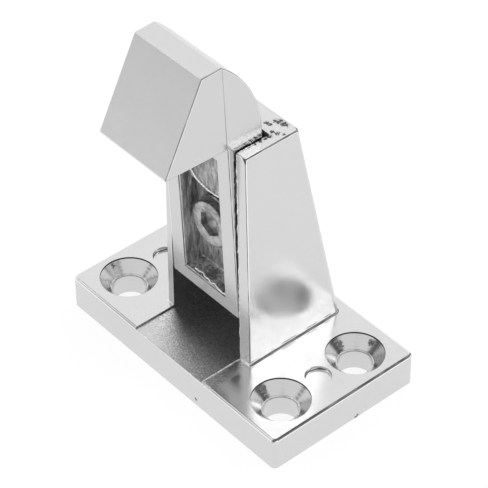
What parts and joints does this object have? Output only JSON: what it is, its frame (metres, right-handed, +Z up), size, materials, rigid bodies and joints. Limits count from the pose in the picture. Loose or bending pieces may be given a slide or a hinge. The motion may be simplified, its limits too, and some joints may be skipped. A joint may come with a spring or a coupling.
{
  "type": "refrigerator latch",
  "caption": "Upright metal latch catch: a base plate with countersunk holes carries a tower whose sprung hook has a sloping nose.",
  "frame": {"origin": "middle of the base plate's underside", "axes": "+X along the base plate's long side, -Y the side that the hook's nose points to, +Z up"},
  "size_m": [0.064, 0.0439, 0.082],
  "materials": {
    "housing_plating": "bright nickel plate over a zinc casting",
    "hook_plating": "bright nickel plate over a zinc casting",
    "pin_steel": "plain turned steel",
    "screw_plating": "bright plated steel",
    "washer_plating": "bright plated steel",
    "spring_steel": "drawn spring wire"
  },
  "bodies": {
    "tower": {"housing": "housing_plating", "pivot_pin": "pin_steel", "adjusting_screw": "screw_plating", "screw_washer": "washer_plating", "return_spring": "spring_steel"},
    "rocking_hook": {"hook": "hook_plating", "spring_seat": "washer_plating"}
  },
  "joints": [
    {"name": "hook_pivot", "type": "hinge", "parent": "tower", "child": "rocking_hook", "pos_m": [0, 0.0012, 0.022], "axis": [-1, 0, 0], "range_deg": [0, 1.8], "stiffness_Nm_per_rad": 3, "springref_deg": -5.73, "deforming": ["return_spring"]}
  ]
}
